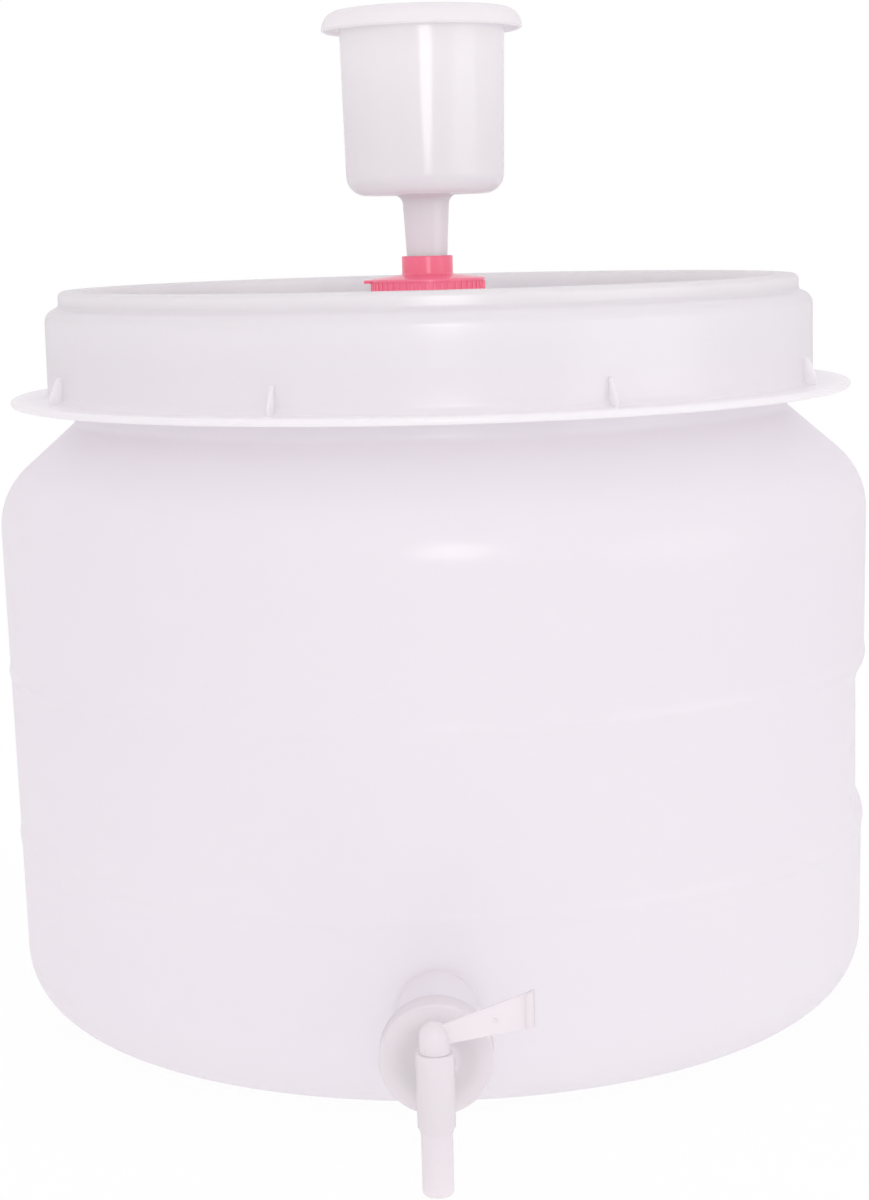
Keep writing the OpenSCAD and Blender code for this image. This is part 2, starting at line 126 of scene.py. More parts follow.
class Moulding:
    """One moulded piece while its mesh is being made."""

    def __init__(self, name: str) -> None:
        """Starts an empty piece with its name."""
        self.name = name
        self.mesh = bmesh.new()

    def join(self, part: bmesh.types.BMesh, place: Matrix) -> None:
        """Adds a finished part to the piece.

        Args:
            part: The part's mesh, which is used up.
            place: Where the part goes in the frame.
        """
        bmesh.ops.remove_doubles(part, verts=part.verts, dist=WELD)
        bmesh.ops.recalc_face_normals(part, faces=part.faces)
        bmesh.ops.transform(part, matrix=place, verts=part.verts)
        carrier = bpy.data.meshes.new("carrier")
        part.to_mesh(carrier)
        part.free()
        self.mesh.from_mesh(carrier)
        bpy.data.meshes.remove(carrier)

    def turn(self, outline: Sequence[Point], closed: bool = True, place: Matrix = UPRIGHT,
             steps: int = 192) -> None:
        """Turns an outline once round the upright axis of a place.

        Args:
            outline: Radii and heights of the outline.
            closed: Whether the last point joins the first; an outline that ends on the axis is left open.
            place: Where the axis stands.
            steps: Number of stretches round the axis.
        """
        part = bmesh.new()
        verts = [part.verts.new((r, 0.0, z)) for r, z in outline]
        ends = verts[1:] + verts[:1] if closed else verts[1:]
        edges = [part.edges.new(pair) for pair in zip(verts, ends)]
        bmesh.ops.spin(part, geom=verts + edges, cent=(0, 0, 0), axis=(0, 0, 1), angle=math.tau,
                       steps=steps, use_merge=True)
        self.join(part, place)

    def thread(self, root: float, crest: float, width: float, foot: float, pitch: float, turns: float,
               place: Matrix = UPRIGHT, steps: int = 96) -> None:
        """Winds a thread ridge round the upright axis of a place.

        Args:
            root: Radius at the root of the ridge.
            crest: Radius at its crest.
            width: Width at its root.
            foot: Height of its middle at the start.
            pitch: Rise in one turn.
            turns: Number of turns.
            place: Where the axis stands.
            steps: Number of stretches in one turn.
        """
        part = bmesh.new()
        flat = width / 5
        section = [(root, -width / 2), (crest, -flat), (crest, flat), (root, width / 2)]
        start = part.faces.new([part.verts.new((r, 0.0, foot + z)) for r, z in section])
        bmesh.ops.spin(part, geom=[start], cent=(0, 0, 0), axis=(0, 0, 1), dvec=(0, 0, pitch / steps),
                       angle=math.tau * turns, steps=round(steps * turns))
        self.join(part, place)

    def slab(self, outline: Sequence[Point], thickness: float, place: Matrix, soften: float = 0.0,
             segments: int = 3) -> None:
        """Adds an upright slab with softened edges.

        Args:
            outline: Distances and heights of its outline.
            thickness: Its thickness, half to each side of the place.
            place: Where the slab stands.
            soften: How wide its edges are rounded.
            segments: Number of faces across a rounded edge.
        """
        part = bmesh.new()
        side = part.faces.new([part.verts.new((x, -thickness / 2, z)) for x, z in outline])
        grown = bmesh.ops.extrude_face_region(part, geom=[side])["geom"]
        moved = [v for v in grown if isinstance(v, bmesh.types.BMVert)]
        bmesh.ops.translate(part, verts=moved, vec=(0, thickness, 0))
        bmesh.ops.recalc_face_normals(part, faces=part.faces)
        if soften:
            bmesh.ops.bevel(part, geom=part.edges[:], offset=soften, offset_type="OFFSET", affect="EDGES",
                            segments=segments, profile=0.5, material=-1)
        self.join(part, place)

    def drill(self, tool: "Moulding") -> None:
        """Cuts the solid of another moulding out of this one.

        Args:
            tool: The solid that is taken away, which is used up.
        """
        objects = []
        for source in (self, tool):
            carrier = bpy.data.objects.new("carrier", bpy.data.meshes.new("carrier"))
            source.mesh.to_mesh(carrier.data)
            bpy.context.scene.collection.objects.link(carrier)
            objects.append(carrier)
        cut = objects[0].modifiers.new("cut", "BOOLEAN")
        cut.operation = "DIFFERENCE"
        cut.solver = "EXACT"
        cut.object = objects[1]
        bpy.context.view_layer.update()
        done = objects[0].evaluated_get(bpy.context.evaluated_depsgraph_get())
        self.mesh.clear()
        self.mesh.from_mesh(done.to_mesh())
        done.to_mesh_clear()
        tool.mesh.free()
        for carrier in objects:
            bpy.data.meshes.remove(carrier.data)

    def cast(self, body: str, finish: "Finish", nodes: Iterable[str],
             crease: float = 38.0) -> bpy.types.Object:
        """Makes the piece an object that rides on a body.

        Args:
            body: The body that it moves with.
            finish: Its finish.
            nodes: The solids that it stands for.
            crease: Angle in degrees above which an edge stays sharp.

        Returns:
            The finished piece.
        """
        mesh = bpy.data.meshes.new(self.name)
        self.mesh.to_mesh(mesh)
        self.mesh.free()
        mesh.shade_smooth()
        mesh.set_sharp_from_angle(angle=math.radians(crease))
        mesh.materials.append(finish.material())
        piece = bpy.data.objects.new(self.name, mesh)
        bpy.context.scene.collection.objects.link(piece)
        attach(piece, body)
        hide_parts(*nodes)
        LOG.info("%s: %d faces", self.name, len(mesh.polygons))
        return piece


@dataclass(frozen=True)
class Finish:
    """A moulded plastic or rubber, with soft clouds in its colour and polish, and light through it.

    Fields hold the material's name, its two cloud tints, its mean roughness, how much light passes
    right through its skin, its refraction, the share by which its roughness varies, and the number in
    a metre and the finer layers of its clouds and of its grains, with the grains' height and strength.
    """

    name: str
    tint: tuple[float, float, float]
    cloud: tuple[float, float, float]
    roughness: float
    passing: float = 0.0
    refraction: float = 1.5
    roughness_spread: float = 0.15
    cloud_scale: float = 9.0
    cloud_layers: float = 3.0
    grain_scale: float = 700.0
    grain_layers: float = 2.0
    grain_height: float = 0.0
    grain_strength: float = 0.6

    def material(self) -> bpy.types.Material:
        """Makes the material on first use.

        Returns:
            The material, the same one for each piece of this finish.
        """
        made = bpy.data.materials.get(self.name)
        if made is not None:
            return made
        made = bpy.data.materials.new(self.name)
        made.use_nodes = True
        tree = made.node_tree
        skin = tree.nodes["Principled BSDF"]
        place = tree.nodes.new("ShaderNodeTexCoord")
        clouds = self._noise(tree, place, self.cloud_scale, self.cloud_layers)
        mix = tree.nodes.new("ShaderNodeMixRGB")
        mix.inputs["Color1"].default_value = (*self.cloud, 1.0)
        mix.inputs["Color2"].default_value = (*self.tint, 1.0)
        tree.links.new(clouds.outputs["Fac"], mix.inputs["Fac"])
        tree.links.new(mix.outputs["Color"], skin.inputs["Base Color"])
        polish = tree.nodes.new("ShaderNodeMapRange")
        polish.inputs["To Min"].default_value = self.roughness * (1 - self.roughness_spread)
        polish.inputs["To Max"].default_value = self.roughness * (1 + self.roughness_spread)
        tree.links.new(clouds.outputs["Fac"], polish.inputs["Value"])
        tree.links.new(polish.outputs["Result"], skin.inputs["Roughness"])
        if self.grain_height:
            grain = self._noise(tree, place, self.grain_scale, self.grain_layers)
            relief = tree.nodes.new("ShaderNodeBump")
            relief.inputs["Strength"].default_value = self.grain_strength
            relief.inputs["Distance"].default_value = self.grain_height
            tree.links.new(grain.outputs["Fac"], relief.inputs["Height"])
            tree.links.new(relief.outputs["Normal"], skin.inputs["Normal"])
        skin.inputs["IOR"].default_value = self.refraction
        if self.passing:
            through = tree.nodes.new("ShaderNodeBsdfTranslucent")
            blend = tree.nodes.new("ShaderNodeMixShader")
            blend.inputs["Fac"].default_value = self.passing
            tree.links.new(mix.outputs["Color"], through.inputs["Color"])
            tree.links.new(skin.outputs["BSDF"], blend.inputs[1])
            tree.links.new(through.outputs["BSDF"], blend.inputs[2])
            tree.links.new(blend.outputs["Shader"], tree.nodes["Material Output"].inputs["Surface"])
        return made

    @staticmethod
    def _noise(tree: bpy.types.NodeTree, place: bpy.types.Node, scale: float,
               layers: float) -> bpy.types.Node:
        """Adds a noise that reads the piece's own coordinates.

        Args:
            tree: The material's nodes.
            place: The node that gives the coordinates.
            scale: Number of clouds in a metre.
            layers: Number of finer layers.

        Returns:
            The noise node.
        """
        noise = tree.nodes.new("ShaderNodeTexNoise")
        noise.inputs["Scale"].default_value = scale
        noise.inputs["Detail"].default_value = layers
        tree.links.new(place.outputs["Object"], noise.inputs["Vector"])
        return noise

    def dress(self, node: str) -> None:
        """Gives a solid that stays as it is this finish.

        Args:
            node: The solid's name.
        """
        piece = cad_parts[node]
        piece.data.materials.clear()
        piece.data.materials.append(self.material())
        LOG.info("%s: keeps its solid", node)


BLOWN_PLASTIC = Finish("milky_blown_plastic", (0.979, 0.963, 0.981), (0.966, 0.944, 0.968), 0.2,
                       passing=0.66, refraction=1.8)
LID_PLASTIC = Finish("milky_lid_plastic", (1.0, 0.987, 1.0), (0.991, 0.974, 0.991), 0.2,
                     passing=0.52, refraction=1.8)
CLEAR_PLASTIC = Finish("milky_airlock_plastic", (0.985, 0.965, 0.98), (0.98, 0.955, 0.975), 0.12,
                       passing=0.4, refraction=1.7)
TAP_PLASTIC = Finish("milky_tap_plastic", (0.95, 0.905, 0.935), (0.935, 0.885, 0.92), 0.22,
                     passing=0.35, grain_height=0.00001, refraction=1.6)
CAP_PLASTIC = Finish("red_cap_plastic", (1.0, 0.2, 0.32), (0.98, 0.18, 0.295), 0.2, passing=0.05)
RUBBER = Finish("pale_seal_rubber", (0.72, 0.70, 0.70), (0.68, 0.66, 0.66), 0.55, grain_height=0.00004)


@dataclass
class Drum:
    """The blown drum with its shoulder, neck, belts, hand grips and outlet."""

    radius: float = 0.185
    taper: float = 0.0026
    corner: float = 0.028
    shoulder_height: float = 0.209
    shoulder_round: float = 0.032
    shoulder_turn: float = 49.0
    neck: float = 0.152
    neck_fillet: float = 0.004
    neck_top: float = 0.3022
    flange_height: float = 0.260
    wall: float = 0.0025
    belt_heights: tuple[float, float] = (0.0775, 0.1485)
    belt_width: float = 0.005
    belt_proud: float = 0.0006
    belt_slope: float = 1.6
    wall_step: float = 0.008
    belt_step: float = 0.0017
    edge: float = 0.0006
    groove: tuple[float, float] = (0.118, 0.124)
    groove_depth: float = 0.0012
    grip_angle: float = 81.0
    grip_depth: float = 0.003
    grip_gap: float = 0.0004
    grip_blend: float = 0.0012
    grip_ramp: float = 0.0035
    finger_count: int = 3
    finger_radius: float = 0.013
    finger_extra: float = 0.0014
    outlet_height: float = 0.044
    outlet_radius: float = 0.0148
    outlet_end: float = 0.2325
    outlet_fillet: float = 0.0012
    outlet_root: float = 0.002
    thread: float = 0.0032
    thread_width: float = 0.00512
    thread_pitch: float = 0.012
    thread_rise: float = 0.0072
    thread_turns: float = 1.5
    outlet_thread: float = 0.0009
    outlet_thread_width: float = 0.0016
    outlet_pitch: float = 0.0026
    outlet_turns: float = 1.6

    def wall_radius(self, z: float) -> float:
        """Gives the outside radius of the tapered wall at a height."""
        share = (z - self.corner) / (self.shoulder_height - self.corner)
        return self.radius - self.taper * (1 - share)

    def belt(self, z: float) -> float:
        """Gives how far the belts stand proud at a height."""
        near = min(abs(z - b) for b in self.belt_heights) / (self.belt_width / 2)
        return self.belt_proud * ease(self.belt_slope * (1 - near))

    def neck_centre(self) -> Point:
        """Gives the centre of the hollow round between shoulder and neck."""
        turn = math.radians(self.shoulder_turn)
        r = self.neck + self.neck_fillet
        out = r - (self.radius - self.shoulder_round)
        rise = (self.shoulder_round + self.neck_fillet - out * math.cos(turn)) / math.sin(turn)
        return r, self.shoulder_height + rise

    def skin(self, depth: float) -> list[Point]:
        """Gives the drum's outline from the base's corner up to its neck.

        Args:
            depth: How far inside the outer skin the outline runs.

        Returns:
            The outline's points, from the base upwards.
        """
        low = self.belt_heights[0] - self.belt_width
        high = self.belt_heights[1] + self.belt_width
        heights = spread(self.corner, low, self.wall_step)[1:] + spread(low, high, self.belt_step)[1:]
        heights += spread(high, self.shoulder_height, self.wall_step)[1:-1]
        bottom = (self.wall_radius(self.corner) - self.corner, self.corner)
        points = arc(bottom, self.corner - depth, -90, 0, 14)
        points += [(self.wall_radius(z) + self.belt(z) * (depth == 0) - depth, z) for z in heights]
        shoulder = (self.radius - self.shoulder_round, self.shoulder_height)
        points += arc(shoulder, self.shoulder_round - depth, 0, self.shoulder_turn, 16)
        points += arc(self.neck_centre(), self.neck_fillet + depth, 180 + self.shoulder_turn, 180, 6)
        return points

    def press_grips(self, piece: Moulding) -> None:
        """Pushes the two ribbed hand grips into the outer and the inner skin.

        Args:
            piece: The drum's mesh.
        """
        low = self.belt_heights[0] + self.belt_width / 2 + self.grip_gap
        high = self.belt_heights[1] - self.belt_width / 2 - self.grip_gap
        pitch = (high - low) / self.finger_count
        middles = [low + (i + 0.5) * pitch for i in range(self.finger_count)]
        panel = self.wall_radius((low + high) / 2) - self.grip_depth
        angle = math.radians(self.grip_angle)
        right = Vector((math.sin(angle), -math.cos(angle), 0))
        for way in (right, -right):
            for vert in piece.mesh.verts:
                z = vert.co.z
                out = vert.co.dot(way)
                if not low < z < high or out < self.neck:
                    continue
                inner = math.hypot(vert.co.x, vert.co.y) < self.wall_radius(z) - self.wall / 2
                reach = min(abs(z - m) for m in middles)
                round_part = math.sqrt(max(0.0, self.finger_radius ** 2 - reach ** 2))
                finger = max(0.0, self.finger_extra - self.finger_radius + round_part)
                face = panel - finger - (self.wall if inner else 0.0)
                share = ease(min(z - low, high - z) / self.grip_ramp)
                vert.co += way * (soft_low(out, face, self.grip_blend) - out) * share

    def build(self) -> bpy.types.Object:
        """Builds the drum.

        Returns:
            The drum's piece.
        """
        piece = Moulding("drum_shell")
        lip = self.wall / 2
        rim = (self.neck - lip, self.neck_top - lip)
        inner = self.skin(self.wall)
        edge = self.edge
        near, far = self.groove
        base = [(0.0, 0.0), (near, 0.0), (near + edge, self.groove_depth)]
        base += [(far - edge, self.groove_depth), (far, 0.0)]
        piece.turn(base + self.skin(0.0) + arc(rim, lip, 0, 180, 8) + inner[::-1] + [(0.0, self.wall)],
                   closed=False, steps=300)
        self.press_grips(piece)
        front = Matrix.Translation((0, 0, self.outlet_height)) @ Matrix.Rotation(math.radians(90), 4, "X")
        bore = self.outlet_radius - self.wall
        tool = Moulding("outlet_tool")
        tool.turn([(0.0, self.neck), (bore, self.neck), (bore, self.outlet_end), (0.0, self.outlet_end)],
                  closed=False, place=front, steps=64)
        piece.drill(tool)
        root = self.wall_radius(self.outlet_height) - self.outlet_root
        flare = self.outlet_radius + self.outlet_fillet
        hollow = (flare, root + self.outlet_root + self.outlet_fillet)
        tube = [(bore, root), (flare, root)] + arc(hollow, self.outlet_fillet, 270, 180, 8)
        tube += [(self.outlet_radius, self.outlet_end - edge)]
        tube += [(self.outlet_radius - edge, self.outlet_end), (bore + edge, self.outlet_end)]
        tube += [(bore, self.outlet_end - edge)]
        piece.turn(tube, place=front, steps=96)
        start = self.outlet_end - 2 * self.outlet_pitch
        piece.thread(self.outlet_radius - edge, self.outlet_radius + self.outlet_thread,
                     self.outlet_thread_width, start, self.outlet_pitch, self.outlet_turns, place=front)
        piece.thread(self.neck - edge, self.neck + self.thread, self.thread_width,
                     self.flange_height + self.thread_rise, self.thread_pitch, self.thread_turns,
                     steps=160)
        return piece.cast("drum", BLOWN_PLASTIC, ["drum"])


@dataclass
class Lid:
    """The screw lid with its raised rim, skirt, flange, gussets and sunk plate."""

    flange_height: float = 0.260
    flange: float = 0.1785
    flange_thick: float = 0.003
    skirt: float = 0.1629
    wall: float = 0.0022
    shoulder_top: float = 0.3005
    shoulder_round: float = 0.006
    flange_fillet: float = 0.003
    rim: float = 0.157
    rim_inner: float = 0.1465
    rim_top: float = 0.3074
    rim_round: float = 0.0024
    plate: float = 0.296
    rim_fillet: float = 0.002
    rim_fillet_rise: float = 0.0018
    lip_round: float = 0.0015
    plate_fillet: float = 0.002
    groove: tuple[float, float] = (0.1487, 0.1548)
    groove_top: float = 0.305
    gusset_count: int = 8
    gusset_phase: float = 25.0
    gusset_height: float = 0.011
    gusset_length: float = 0.0055
    gusset_thick: float = 0.0013
    gusset_bite: float = 0.0008
    gusset_foot: float = 0.25
    gusset_tip: float = 0.35
    bead: float = 0.1556
    bead_bite: float = 0.0008
    bead_width: float = 0.0051
    thread_pitch: float = 0.012
    thread_turns: float = 1.4
    neck: float = 0.0204
    neck_top: float = 0.3053
    neck_fillet: float = 0.001
    neck_thread: float = 0.0009
    neck_thread_width: float = 0.0018
    neck_thread_drop: float = 0.0045
    neck_thread_pitch: float = 0.0024
    neck_thread_turns: float = 1.1
    wall_step: float = 0.006
    edge: float = 0.0005

    def outline(self) -> list[Point]:
        """Gives the lid's closed outline: over the top from its small neck, and back underneath."""
        bore = self.neck - self.wall
        inside = self.skirt - self.wall
        edge = self.edge
        top = [(bore, self.neck_top), (self.neck - edge, self.neck_top)]
        top += [(self.neck, self.neck_top - edge)]
        fillet = self.neck_fillet
        top += arc((self.neck + fillet, self.plate + fillet), fillet, 180, 270, 4)
        fillet = self.plate_fillet
        top += arc((self.rim_inner - fillet, self.plate + fillet), fillet, 270, 360, 5)
        lip = self.lip_round
        top += arc((self.rim_inner + lip, self.rim_top - lip), lip, 180, 90, 6)
        top += arc((self.rim - self.rim_round, self.rim_top - self.rim_round), self.rim_round, 90, 0, 8)
        step = (self.rim + self.rim_fillet, self.shoulder_top + self.rim_fillet_rise)
        top += arc(step, self.rim_fillet, 180, 255, 5)
        crown = self.shoulder_top - self.shoulder_round
        top += arc((self.skirt - self.shoulder_round, crown), self.shoulder_round, 66, 0, 10)
        foot = self.flange_height + self.flange_thick
        top += [(self.skirt, z) for z in spread(crown, foot + self.flange_fillet, self.wall_step)[1:-1]]
        fillet = self.flange_fillet
        top += arc((self.skirt + fillet, foot + fillet), fillet, 180, 270, 8)
        half = self.flange_thick / 2
        top += arc((self.flange - half, self.flange_height + half), half, 90, -90, 10)
        under = [(inside + edge, self.flange_height), (inside, self.flange_height + edge)]
        under += arc((inside - self.shoulder_round, crown - self.wall), self.shoulder_round, 0, 90, 8)
        under += [(self.groove[1], self.shoulder_top - self.wall), (self.groove[1], self.groove_top)]
        under += [(self.groove[0], self.groove_top), (self.groove[0], self.plate - self.wall)]
        return top + under + [(bore, self.plate - self.wall)]

    def build(self) -> bpy.types.Object:
        """Builds the lid.

        Returns:
            The lid's piece.
        """
        piece = Moulding("lid_shell")
        piece.turn(self.outline(), steps=288)
        foot = self.flange_height + self.flange_thick
        bite = self.gusset_bite
        long, tall = self.gusset_length, self.gusset_height
        side = [(-bite, -bite), (long, -bite), (long, tall * self.gusset_foot)]
        side += [(long * self.gusset_tip, tall), (-bite, tall)]
        for i in range(self.gusset_count):
            turn = math.radians(self.gusset_phase + i * 360 / self.gusset_count - 90)
            place = Matrix.Rotation(turn, 4, "Z") @ Matrix.Translation((self.skirt, 0, foot))
            piece.slab(side, self.gusset_thick, place, soften=self.edge)
        inside = self.skirt - self.wall
        start = self.flange_height + self.thread_pitch
        piece.thread(inside + self.bead_bite, self.bead, self.bead_width, start, self.thread_pitch,
                     self.thread_turns, steps=160)
        piece.thread(self.neck - self.edge, self.neck + self.neck_thread, self.neck_thread_width,
                     self.neck_top - self.neck_thread_drop, self.neck_thread_pitch,
                     self.neck_thread_turns)
        return piece.cast("lid", LID_PLASTIC, ["lid"])


@dataclass
class ScrewCap:
    """The red screw cap with its edge disc, grip ribs, pull tab and collar."""

    radius: float = 0.0246
    rib: float = 0.0005
    rib_count: int = 48
    rib_width: float = 0.001
    rib_foot: float = 0.0008
    rib_short: float = 0.0012
    rib_soften: float = 0.0002
    rib_share: float = 0.9
    edge: float = 0.0003
    wall: float = 0.0015
    foot: float = 0.298
    edge_height: float = 0.3087
    edge_round: float = 0.0005
    disc_thick: float = 0.0011
    under: float = 0.3069
    rise: float = 0.0016
    collar: float = 0.0109
    collar_bore: float = 0.0099
    collar_top: float = 0.3182
    collar_fillet: float = 0.0008
    collar_round: float = 0.0004
    tab_length: float = 0.0028
    tab_width: float = 0.004
    tab_thick: float = 0.0014
    thread: float = 0.0009
    thread_width: float = 0.0018
    thread_pitch: float = 0.0024
    thread_turns: float = 1.1

    def build(self) -> bpy.types.Object:
        """Builds the cap.

        Returns:
            The cap's piece.
        """
        piece = Moulding("cap_shell")
        side = self.radius - self.rib
        inside = side - self.wall
        edge = self.edge
        disc = self.edge_height - self.disc_thick
        outline = [(self.collar_bore, self.under), (inside - edge, self.under)]
        outline += [(inside, self.under - edge), (inside, self.foot + edge), (inside + edge, self.foot)]
        outline += [(side - edge, self.foot), (side, self.foot + edge), (side, disc), (self.radius, disc)]
        bend = self.edge_round
        outline += arc((self.radius - bend, self.edge_height - bend), bend, 0, 75, 5)
        fillet = self.collar_fillet
        slope = (self.collar + fillet, self.edge_height + self.rise + fillet)
        outline += arc(slope, fillet, 265, 180, 5)
        bend = self.collar_round
        outline += arc((self.collar - bend, self.collar_top - bend), bend, 0, 90, 4)
        outline += [(self.collar_bore, self.collar_top)]
        piece.turn(outline, steps=160)
        tall = disc - self.foot - self.rib_short
        out = self.rib * self.rib_share
        rib = [(-self.rib, 0.0), (out, 0.0), (out, tall), (-self.rib, tall)]
        for i in range(self.rib_count):
            place = Matrix.Rotation(math.tau * i / self.rib_count, 4, "Z") @ Matrix.Translation(
                (side, 0, self.foot + self.rib_foot))
            piece.slab(rib, self.rib_width, place, soften=self.rib_soften, segments=2)
        half = self.tab_thick / 2
        tab = [(-self.wall, -half), (self.tab_length, -half), (self.tab_length, half), (-self.wall, half)]
        left = Matrix.Rotation(math.pi, 4, "Z") @ Matrix.Translation((self.radius, 0, disc))
        piece.slab(tab, self.tab_width, left, soften=self.edge_round)
        piece.thread(inside + edge, inside - self.thread, self.thread_width,
                     self.foot + self.thread_width, self.thread_pitch, self.thread_turns)
        return piece.cast("screw_cap", CAP_PLASTIC, ["screw_cap"])


@dataclass
class AirlockCup:
    """The airlock's cup with its drooping brim, stem and inner tube."""

    radius: float = 0.0348
    taper: float = 0.0012
    corner: float = 0.0085
    underside: float = 0.3439
    top: float = 0.42069
    brim_out: float = 0.0076
    brim_drop: float = 0.008
    brim_root: float = 0.001
    lip_share: float = 0.75
    mouth_round: float = 0.0016
    wall: float = 0.0014
    stem: float = 0.0086
    stem_top: float = 0.0098
    stem_end: float = 0.2979
    stem_low: float = 0.3172
    stem_fillet: float = 0.004
    tube: float = 0.008
    tube_height: float = 0.048
    edge: float = 0.0006

    def build(self) -> bpy.types.Object:
        """Builds the cup.

        Returns:
            The cup's piece.
        """
        piece = Moulding("airlock_cup")
        edge = self.edge
        bore = self.tube - self.wall
        foot = (self.radius - self.taper - self.corner, self.underside + self.corner)
        droop = (self.radius + edge, self.top - self.brim_drop)
        reach = self.brim_out - edge
        floor = self.underside + self.wall
        fillet = self.stem_fillet
        outline = [(bore, self.stem_end), (self.stem - edge, self.stem_end)]
        outline += [(self.stem, self.stem_end + 2 * edge), (self.stem, self.stem_low)]
        outline += arc((self.stem_top + fillet, self.underside - fillet), fillet, 180, 90, 8)
        outline += arc(foot, self.corner, -90, 0, 12)
        outline += [(self.radius, droop[1]), (self.radius, self.top - self.wall - self.brim_root)]
        outline += arc(droop, reach - self.wall, 90, 0, 12, height=self.brim_drop - self.wall)
        outline += arc((droop[0] + reach - self.wall / 2, droop[1]), self.wall / 2, 180, 360, 6)[1:-1]
        outline += arc(droop, reach, 0, 90, 12, height=self.brim_drop)
        bend = self.mouth_round
        outline += arc((self.radius - self.wall + bend, self.top - bend), bend, 90, 180, 6)
        outline += arc(foot, self.corner - self.wall, 0, -90, 12)
        end = floor + self.tube_height
        outline += [(self.tube + edge, floor), (self.tube, floor + edge), (self.tube, end - edge)]
        outline += [(self.tube - edge, end), (bore, end)]
        # The outer part of the brim's lip ends level, where the solid's brim ends.
        lip = droop[0] + reach - self.lip_share * self.wall
        outline = [(r, max(z, droop[1])) if r > lip else (r, z) for r, z in outline]
        piece.turn(outline, steps=192)
        return piece.cast("airlock_cup", CLEAR_PLASTIC, ["airlock_cup"])


